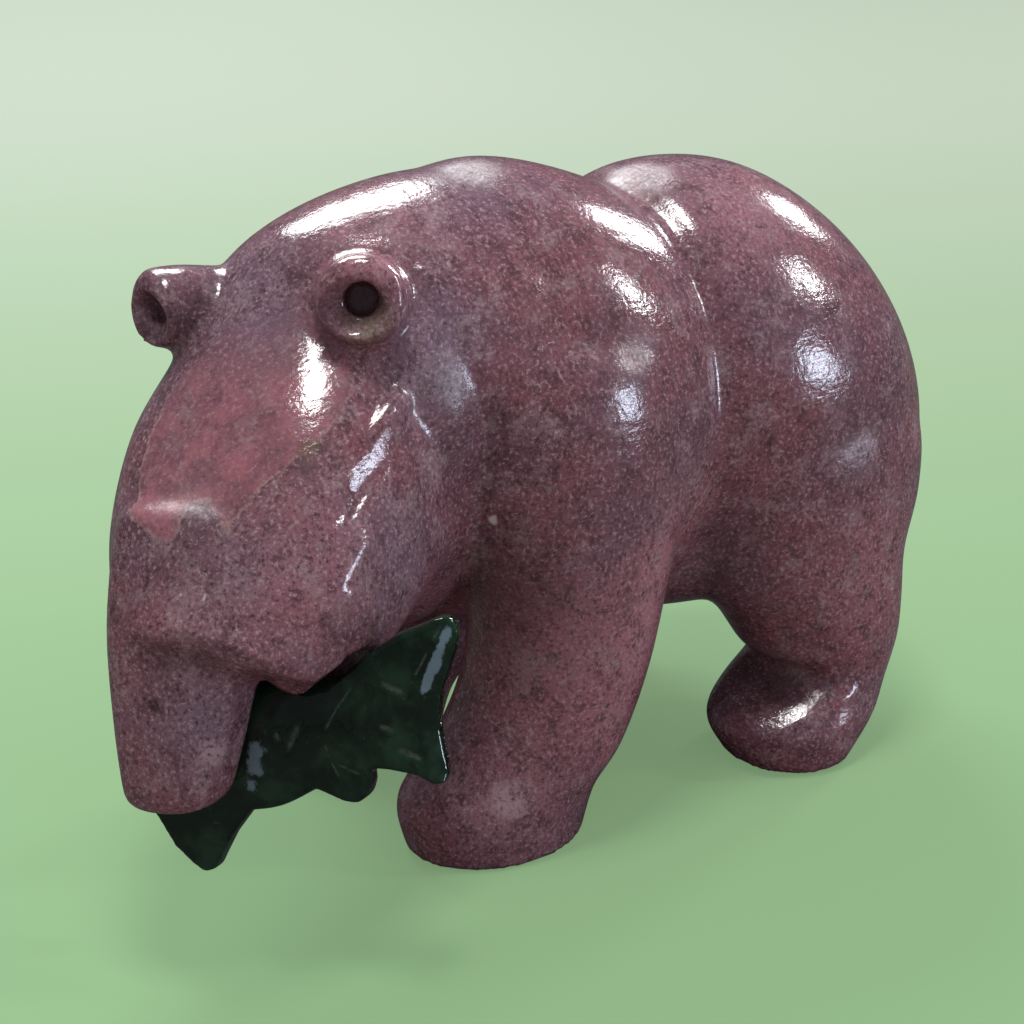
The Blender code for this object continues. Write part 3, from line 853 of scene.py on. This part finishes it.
def dimple(stone, centre, radius, depth):
    """A small round pit in a stone."""
    points = vertex_places(stone.data)
    away = np.linalg.norm(points - np.array(centre), axis=1)
    strength = share(depth) * np.exp(-((away / share(radius)) ** 2))
    points -= strength[:, None] * vertex_normals(stone.data)
    move_skin(stone, points)


def fish_path(corners):
    """A smooth line on the fish's upper face."""
    lift = FIN_THICKNESS / 2 / share(1)
    return np.array(smooth_steps([list(mouth_place(along, drop, lift)) for along, drop in corners]))


def draw_fish_lines(fish):
    """Bevel the tail's outer rim, cut the bars and scales, and note where a bluish sheen is painted on the
    jade.
    """
    bevel_tail(fish)
    marks = [draw_line(fish, fish_path(corners), groove, 0.14, 0.16) for corners in FISH_BARS]
    marks += [draw_line(fish, fish_path(corners), groove, 0.16, 0.42, taper=0.4) for corners in FISH_SCALES]
    keep_values(fish, "cut_mark", np.max(marks, axis=0))
    # A painted bluish gleam along the tail's rim
    painted_gleam = draw_line(fish, fish_path(TAIL_PAINTED_GLEAM), groove, 0.0, 0.85, taper=0.25)
    spots = spot_values(vertex_places(fish.data), FISH_PAINTED_SHEEN, mouth_place)
    keep_values(fish, "milk_and_sheen", np.maximum(spots, painted_gleam))


def bevel_tail(fish):
    """Slope the face of the tail down towards its outer rim."""
    out = np.array(mouth_axes()[2])
    points = vertex_places(fish.data)
    middle = np.array(mouth_place(0, 0, 0))
    rim = np.array([list(mouth_place(along, drop, 0)) for along, drop in TAIL_RIM])
    height = (points - middle) @ out
    flat = points - height[:, None] * out
    away = along_line(flat, np.tile(out, (len(flat), 1)), rim)[0]
    low = share(TAIL_RIM_SLOPE) * np.clip(share(TAIL_RIM_WIDTH) - away, 0, None) / share(1)
    points -= (np.where(height > 0, low, 0))[:, None] * out
    move_skin(fish, points)


def keep_values(stone, name, values):
    """Store one number for every vertex, which the material reads by its name."""
    layer = stone.data.attributes.new(name, "FLOAT", "POINT")
    layer.data.foreach_set("value", values.astype(np.float32))


def outline_distance(points, outline):
    """How far flat points are from a closed outline, less than 0 inside it."""
    corners = np.array(outline)
    away = np.full(len(points), np.inf)
    inside = np.zeros(len(points), dtype=bool)
    for start, end in zip(corners, np.roll(corners, -1, axis=0)):
        run = end - start
        step = np.clip((points - start) @ run / (run @ run), 0, 1)
        away = np.minimum(away, np.linalg.norm(points - start - step[:, None] * run, axis=1))
        between_ends = (points[:, 1] > start[1]) != (points[:, 1] > end[1])
        rise = np.where(between_ends, (points[:, 1] - start[1]) / (run[1] or 1.0), 0.0)
        inside ^= between_ends & (points[:, 0] < start[0] + rise * run[0])
    return np.where(inside, -away, away)


def spot_values(points, spots, placed=place):
    """How strongly each point lies in some soft round spots."""
    total = np.zeros(len(points))
    for centre, reach, strength in spots:
        away = np.linalg.norm(points - np.array(placed(*centre)), axis=1)
        total += strength * np.exp(-((away / share(reach)) ** 2))
    return np.clip(total, 0, 1)


def paint_bear(bear):
    """Note how far the forehead's patch is, where else the stone differs, and where shade, sheen and a
    glint are painted on it.
    """
    points = vertex_places(bear.data)
    to_left, ahead, upward = (np.array(axis) for axis in head_axes(HEAD_YAW, HEAD_ROLL))
    offset = (points - np.array(place(*CROWN))) / share(1)
    distance = outline_distance(np.stack([offset @ to_left, offset @ upward], axis=1), ROSE_PATCH)
    facing = vertex_normals(bear.data) @ (ahead + 0.6 * upward)
    in_front = (facing > 0) & (offset @ ahead > -PATCH_REACH_BACK)
    away = np.where(in_front, distance, FAR_FROM_PATCH)
    keep_values(bear, "patch_distance", np.clip(away, -FAR_FROM_PATCH, FAR_FROM_PATCH))
    keep_values(bear, "patch_height", np.clip(offset @ upward, -FAR_FROM_PATCH, FAR_FROM_PATCH))
    for name, spots in (
        ("rosy", ROSY_SPOTS), ("mauve_and_sheen", MAUVE_SPOTS_AND_SHEEN), ("beige", BEIGE_SPOTS), ("pale", PALE_SPOTS_AND_SHEEN),
        ("white_grain_and_glint", WHITE_GRAIN_AND_GLINT), ("dark", DARK_STAIN_AND_SHADE_SPOTS), ("dull", DULL_SPOTS),
    ):
        keep_values(bear, name, spot_values(points, spots))


def stand_offset(bear):
    """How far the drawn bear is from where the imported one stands."""
    points = vertex_places(bear.data)
    middle = (points.min(axis=0) + points.max(axis=0)) / 2
    low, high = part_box("bear")
    offset = (low + high) / 2 - Vector(middle.tolist())
    return Vector((offset.x, offset.y, 0.0))


def vertex_places(mesh):
    """Every vertex of a mesh, one row each."""
    flat = np.empty(3 * len(mesh.vertices))
    mesh.vertices.foreach_get("co", flat)
    return flat.reshape(-1, 3)


def vertex_normals(mesh):
    """The direction that the skin faces at every vertex, one row each."""
    flat = np.empty(3 * len(mesh.vertices))
    mesh.vertices.foreach_get("normal", flat)
    return flat.reshape(-1, 3)


def new_material(name):
    finish = bpy.data.materials.new(name)
    finish.use_nodes = True
    return finish, finish.node_tree, finish.node_tree.nodes["Principled BSDF"]


def add_node(tree, kind, **values):
    """A shader node with its settings, and its unlinked inputs by name or number."""
    node = tree.nodes.new(kind)
    for name, value in values.pop("inputs", {}).items():
        node.inputs[name].default_value = value
    for name, value in values.items():
        setattr(node, name, value)
    return node


def feed(tree, slot, value):
    """Link an input to another node's socket, or set it to a plain number or colour."""
    if isinstance(value, bpy.types.NodeSocket):
        tree.links.new(value, slot)
    else:
        slot.default_value = value


def calculate(tree, operation, *values):
    """The result of an operation on sockets and numbers."""
    node = add_node(tree, "ShaderNodeMath", operation=operation)
    for slot, value in zip(node.inputs, values):
        feed(tree, slot, value)
    return node.outputs[0]


def product(tree, first, second):
    return calculate(tree, "MULTIPLY", first, second)


def ramp(tree, value, low, high):
    """0 on low's side and 1 on high's side, with a soft change between them."""
    node = add_node(tree, "ShaderNodeMapRange", interpolation_type="SMOOTHSTEP")
    for name, given in (("Value", value), ("From Min", low), ("From Max", high)):
        feed(tree, node.inputs[name], given)
    return node.outputs["Result"]


def blend(tree, mask, first, second, mode="MIX"):
    """The first colour, with the second laid over it where the mask is 1."""
    node = add_node(tree, "ShaderNodeMix", data_type="RGBA", blend_type=mode)
    for slot, value in ((node.inputs[0], mask), (node.inputs[6], first), (node.inputs[7], second)):
        feed(tree, slot, value)
    return node.outputs[2]


def noise(tree, at, size, detail=2.0, roughness=0.5):
    """Cloudy noise whose blobs are about a size across, in metres."""
    settings = {"Scale": 1 / size, "Detail": detail, "Roughness": roughness}
    node = add_node(tree, "ShaderNodeTexNoise", inputs=settings)
    feed(tree, node.inputs["Vector"], at)
    return node.outputs["Fac"]


def build_mottling():
    """The node group of both stones: a mask that is 1 where noise, raised or not, is high."""
    group = bpy.data.node_groups.new("mottling", "ShaderNodeTree")
    group.interface.new_socket("Vector", in_out="INPUT", socket_type="NodeSocketVector")
    for name in ("Scale", "Detail", "Roughness", "Raggedness", "Raised", "Low", "High"):
        group.interface.new_socket(name, in_out="INPUT", socket_type="NodeSocketFloat")
    group.interface.new_socket("Mask", in_out="OUTPUT", socket_type="NodeSocketFloat")
    given = add_node(group, "NodeGroupInput").outputs
    blobs = add_node(group, "ShaderNodeTexNoise")
    for name in ("Vector", "Scale", "Detail", "Roughness"):
        feed(group, blobs.inputs[name], given[name])
    height = calculate(group, "MULTIPLY_ADD", blobs.outputs["Fac"], given["Raggedness"], given["Raised"])
    mask = ramp(group, height, given["Low"], given["High"])
    feed(group, add_node(group, "NodeGroupOutput").inputs["Mask"], mask)


def mottled(tree, at, size, detail, roughness, low, high, ragged=1.0, raised=0.0):
    """Place the mottling in a stone: its mask, with blobs about a size across, in metres."""
    node = add_node(tree, "ShaderNodeGroup", node_tree=bpy.data.node_groups["mottling"])
    for name, value in (
        ("Vector", at), ("Scale", 1 / size), ("Detail", detail), ("Roughness", roughness),
        ("Raggedness", ragged), ("Raised", raised), ("Low", low), ("High", high),
    ):
        feed(tree, node.inputs[name], value)
    return node.outputs["Mask"]


def kept(tree, name):
    """A number that the stone's skin carries."""
    node = add_node(tree, "ShaderNodeAttribute", attribute_name=name, attribute_type="GEOMETRY")
    return node.outputs["Fac"]


def roughen(tree, surface, height, strength, distance):
    """Let a height in the stone bend its gloss."""
    bump = add_node(tree, "ShaderNodeBump", inputs={"Strength": strength, "Distance": distance})
    feed(tree, bump.inputs["Height"], height)
    feed(tree, surface.inputs["Normal"], bump.outputs["Normal"])


def lay_patch(tree, at, colour, distance):
    """The forehead's rosier skin, with a pale, ragged lower edge and painted shade just below that edge,
    and fading towards the crown.
    """
    height = kept(tree, "patch_height")
    inside = product(tree, ramp(tree, distance, 0.15, -0.6), ramp(tree, height, 0.0, -12.0))
    blotches = mottled(tree, at, 0.004, 4.0, 0.5, 0.36, 0.62)
    colour = blend(tree, inside, colour, blend(tree, blotches, PATCH_ROSE, PATCH_WINE))
    low = ramp(tree, height, -5.0, -12.0)
    edge = product(tree, ramp(tree, distance, 0.28, 0.06), ramp(tree, distance, -0.40, -0.04))
    edge = product(tree, product(tree, edge, low), 0.5)
    colour = blend(tree, edge, colour, PATCH_EDGE)
    broken = product(tree, low, mottled(tree, at, 0.0013, 4.0, 0.7, 0.38, 0.54))
    # Painted shade just below the patch's raised lower edge
    painted_shade = product(tree, ramp(tree, distance, 0.80, 0.50), ramp(tree, distance, 0.20, 0.40))
    painted_shade = product(tree, product(tree, painted_shade, broken), 0.55)
    return blend(tree, painted_shade, colour, PATCH_SHADE)


def lay_stains(tree, at, colour):
    """Beige stains that turn brown towards their edges, and milky spots, some of them a painted sheen."""
    beige = kept(tree, "beige")
    brown = mottled(tree, at, 0.002, 4.0, 0.5, 0.50, 0.80, 0.6, beige)
    colour = blend(tree, product(tree, brown, 0.8), colour, STAIN_BROWN)
    middle = mottled(tree, at, 0.002, 4.0, 0.5, 0.85, 1.15, 0.6, beige)
    colour = blend(tree, product(tree, middle, 0.85), colour, STAIN_BEIGE)
    # Milky spots, with a painted sheen on the front foot and the muzzle
    milk_and_sheen = mottled(tree, at, 0.0022, 6.0, 0.75, 0.80, 1.30, 0.9, kept(tree, "pale"))
    return blend(tree, product(tree, milk_and_sheen, 0.6), colour, MILKY_AND_SHEEN)


def lay_flecks(tree, at, colour, distance, fine):
    """Brown and grey mottling, then pale and dark flecks and sparks, all calmer on the patch, and white
    grains, one of them a painted glint by the brow.
    """
    calm = calculate(tree, "MULTIPLY_ADD", ramp(tree, distance, 0.2, -0.4), -0.4, 1.0)
    brown = mottled(tree, at, 0.0026, 8.0, 0.80, 0.47, 0.63)
    colour = blend(tree, product(tree, brown, product(tree, calm, 0.78)), colour, BROWN_MOTTLE)
    grey = mottled(tree, at, 0.0045, 9.0, 0.82, 0.50, 0.62)
    colour = blend(tree, product(tree, grey, product(tree, calm, 0.6)), colour, GREY_MOTTLE)
    pale = product(tree, ramp(tree, fine, 0.52, 0.68), product(tree, calm, 0.80))
    colour = blend(tree, pale, colour, PALE_FLECK)
    dark = product(tree, ramp(tree, fine, 0.47, 0.31), product(tree, calm, 0.92))
    colour = blend(tree, dark, colour, DARK_FLECK)
    sparks = product(tree, mottled(tree, at, 0.0011, 4.0, 0.65, 0.64, 0.72), grey)
    # A white grain, and a painted glint by the brow
    grain_and_glint = ramp(tree, kept(tree, "white_grain_and_glint"), 0.35, 0.75)
    sparks = calculate(tree, "MAXIMUM", product(tree, sparks, 0.7), grain_and_glint)
    return blend(tree, sparks, colour, SPARK_AND_GLINT)


def rhodonite():
    """Plum-brown stone, mottled in grey and rose with pale and dark flecks, and polished, with painted
    shade in its hollows and a painted sheen and glint in a few places.
    """
    finish, tree, surface = new_material("rhodonite")
    at = add_node(tree, "ShaderNodeTexCoord").outputs["Object"]
    clouds = mottled(tree, at, 0.016, 4.0, 0.6, 0.36, 0.64)
    colour = blend(tree, clouds, PLUM, VIOLET)
    colour = blend(tree, product(tree, kept(tree, "rosy"), 0.9), colour, ROSY)
    # Greyer mauve places, partly a painted bluish sheen on the muzzle and beside the left ear
    colour = blend(tree, product(tree, kept(tree, "mauve_and_sheen"), 0.8), colour, MAUVE_AND_SHEEN)
    ragged = calculate(tree, "MULTIPLY_ADD", noise(tree, at, 0.0035, 6.0, 0.72), 3.4, -1.7)
    distance = calculate(tree, "ADD", kept(tree, "patch_distance"), ragged)
    colour = lay_patch(tree, at, colour, distance)
    colour = lay_stains(tree, at, colour)
    fine = noise(tree, at, 0.0005, 4.0, 0.7)
    colour = lay_flecks(tree, at, colour, distance, fine)
    # Painted shade in the hollows and between the legs, with some dark stains
    colour = blend(tree, product(tree, kept(tree, "dark"), 0.8), colour, DEEP_BROWN_AND_SHADE)
    feed(tree, surface.inputs["Base Color"], colour)
    worn = calculate(tree, "MULTIPLY_ADD", noise(tree, at, 0.004, 3.0), 0.12, 0.05)
    worn = calculate(tree, "MULTIPLY_ADD", ramp(tree, fine, 0.50, 0.30), 0.20, worn)
    worn = calculate(tree, "MULTIPLY_ADD", kept(tree, "dull"), 0.4, worn)
    feed(tree, surface.inputs["Roughness"], worn)
    drawn_out = add_node(tree, "ShaderNodeMapping", inputs={"Scale": (1.0, 0.3, 1.0)})
    feed(tree, drawn_out.inputs["Vector"], at)
    scratches = noise(tree, drawn_out.outputs["Vector"], 0.0007, 4.0, 0.6)
    waves = product(tree, noise(tree, at, 0.006), 2.2)
    relief = calculate(tree, "MULTIPLY_ADD", noise(tree, at, 0.0006, 3.0), 0.7, waves)
    relief = calculate(tree, "MULTIPLY_ADD", scratches, 0.8, relief)
    roughen(tree, surface, relief, 0.5, 0.00012)
    surface.inputs["IOR"].default_value = RHODONITE_IOR
    return finish


def jade():
    """Dark green stone, a little cloudy, with pale, rough cut lines and a painted bluish sheen in a few
    places.
    """
    finish, tree, surface = new_material("jade")
    at = add_node(tree, "ShaderNodeTexCoord").outputs["Object"]
    clouds = mottled(tree, at, 0.006, 5.0, 0.65, 0.42, 0.68)
    colour = blend(tree, clouds, JADE_DARK, JADE_GREEN)
    specks = product(tree, mottled(tree, at, 0.0005, 4.0, 0.65, 0.60, 0.72), 0.35)
    colour = blend(tree, specks, colour, JADE_SPECK)
    # Painted bluish sheen along the tail's rim and on the body and fins by the mouth
    milk_and_sheen = mottled(tree, at, 0.0016, 5.0, 0.7, 1.30, 1.62, 1.6, kept(tree, "milk_and_sheen"))
    colour = blend(tree, product(tree, milk_and_sheen, 0.85), colour, JADE_SHEEN_BLUE)
    worn = product(tree, kept(tree, "cut_mark"), noise(tree, at, 0.0006, 4.0, 0.7))
    mark = ramp(tree, worn, 0.12, 0.60)
    colour = blend(tree, product(tree, mark, 0.6), colour, JADE_CUT)
    feed(tree, surface.inputs["Base Color"], colour)
    feed(tree, surface.inputs["Roughness"], calculate(tree, "MULTIPLY_ADD", mark, 0.35, 0.07))
    roughen(tree, surface, noise(tree, at, 0.0035, 3.0), 0.4, 0.0002)
    surface.inputs["IOR"].default_value = JADE_IOR
    return finish


def reach_along(tree, split, azimuth):
    """How far a place of the floor lies towards an azimuth."""
    toward = direction(azimuth, 0)
    sideways = product(tree, split.outputs["X"], toward.x)
    return calculate(tree, "MULTIPLY_ADD", split.outputs["Y"], toward.y, sideways)


def add_floor():
    """A plain pale green floor, softly lit from within, that throws no green light on the stones."""
    shell = bmesh.new()
    bmesh.ops.create_grid(shell, x_segments=1, y_segments=1, size=FLOOR_REACH)
    floor = stone_object("floor", shell)
    finish, tree, surface = new_material("floor")
    split = add_node(tree, "ShaderNodeSeparateXYZ")
    feed(tree, split.inputs["Vector"], add_node(tree, "ShaderNodeTexCoord").outputs["Object"])
    nearness = ramp(tree, reach_along(tree, split, VIEW_AZIMUTH), -0.45, 0.06)
    seen = blend(tree, nearness, FLOOR_FAR, FLOOR_NEAR)
    to_right = ramp(tree, reach_along(tree, split, VIEW_AZIMUTH + 90), -0.16, 0.16)
    seen = blend(tree, to_right, seen, FLOOR_RIGHT, "MULTIPLY")
    light = add_node(tree, "ShaderNodeLightPath")
    unseen = blend(tree, light.outputs["Is Glossy Ray"], FLOOR_UNSEEN, FLOOR_MIRRORED)
    shaded = blend(tree, 1.0, seen, FLOOR_SHADED, "MULTIPLY")
    colour = blend(tree, light.outputs["Is Camera Ray"], unseen, shaded)
    feed(tree, surface.inputs["Base Color"], colour)
    glow = blend(tree, light.outputs["Is Camera Ray"], BLACK, seen)
    feed(tree, surface.inputs["Emission Color"], glow)
    surface.inputs["Emission Strength"].default_value = FLOOR_GLOW
    surface.inputs["Roughness"].default_value = 0.9
    surface.inputs["Specular IOR Level"].default_value = 0.0
    floor.data.materials.append(finish)


def direction(azimuth, elevation):
    """A unit vector: azimuth 0 is in front of the bear and 90 at its left."""
    turn = radians(azimuth)
    rise = radians(elevation)
    return Vector((sin(turn) * cos(rise), -cos(turn) * cos(rise), sin(rise)))


def add_lamp(name, azimuth, elevation, distance, width, height, power, colour):
    """A soft light that faces the middle of the bear."""
    lamp = bpy.data.lights.new(name, "AREA")
    lamp.shape = "RECTANGLE"
    lamp.size = width
    lamp.size_y = height
    lamp.energy = power
    lamp.color = colour
    holder = bpy.data.objects.new(name, lamp)
    toward = direction(azimuth, elevation)
    holder.location = Vector((0, 0, LAMP_AIM_HEIGHT)) + distance * toward
    holder.rotation_euler = toward.to_track_quat("Z", "Y").to_euler()
    bpy.context.scene.collection.objects.link(holder)


def add_lights():
    """A dim room around the stones, the lamps that their gloss mirrors, and plain colours."""
    world = bpy.data.worlds.new("surroundings")
    world.use_nodes = True
    tree = world.node_tree
    background = tree.nodes["Background"]
    light = add_node(tree, "ShaderNodeLightPath")
    colour = blend(tree, light.outputs["Is Glossy Ray"], ROOM_LIGHT, ROOM_MIRRORED)
    feed(tree, background.inputs["Color"], colour)
    background.inputs["Strength"].default_value = 1.0
    bpy.context.scene.world = world
    bpy.context.scene.view_settings.view_transform = "Standard"
    add_lamp("window", 129, 5, 1.0, 0.17, 0.20, 2.2, (0.74, 0.82, 1.0))
    add_lamp("lamp_behind_left", 150, 31, 1.0, 0.08, 0.15, 2.4, (0.95, 0.98, 1.0))
    add_lamp("lamp_behind", 196, 28, 1.0, 0.14, 0.22, 4.0, (0.96, 0.98, 1.0))
    add_lamp("lamp_right", -105, 44, 1.0, 0.5, 0.35, 10.0, (0.95, 1.0, 1.0))
    add_lamp("overhead", 20, 87, 1.0, 0.2, 0.3, 8.0, (1.0, 0.98, 0.96))


def add_camera(offset):
    """The photo's view, with the aim at its own pixel."""
    back = direction(VIEW_AZIMUTH, VIEW_ELEVATION)
    across = direction(VIEW_AZIMUTH + 90, 0)
    up = back.cross(across)
    slant_x = (AIM_PIXEL[0] - FRAME_PIXELS / 2) / FOCAL_PIXELS
    slant_y = -(AIM_PIXEL[1] - FRAME_PIXELS / 2) / FOCAL_PIXELS
    lens = bpy.data.cameras.new("photo_view")
    lens.sensor_width = SENSOR_WIDTH
    lens.lens = FOCAL_PIXELS / FRAME_PIXELS * SENSOR_WIDTH
    lens.clip_start = NEAREST_SEEN
    camera = bpy.data.objects.new("photo_view", lens)
    turn = Matrix((across, up, back)).transposed().to_4x4()
    eye = place(*AIM) + offset + VIEW_DISTANCE * (back - slant_x * across - slant_y * up)
    camera.matrix_world = Matrix.Translation(eye) @ turn
    bpy.context.scene.collection.objects.link(camera)
    bpy.context.scene.camera = camera


def main():
    bear = carve_bear()
    fish = carve_fish()
    offset = stand_offset(bear)
    paint_bear(bear)
    build_mottling()
    for stone, finish, node, slot in (
        (bear, rhodonite(), "bear", "rhodonite"),
        (fish, jade(), "fish", "jade"),
    ):
        stone.data.transform(Matrix.Translation(offset))
        stone.data.materials.clear()
        stone.data.materials.append(finish)
        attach(stone, "root")
        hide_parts(node)
        print(stone.name, "triangles", sum(len(face.vertices) - 2 for face in stone.data.polygons))
    add_floor()
    add_lights()
    add_camera(offset)


main()
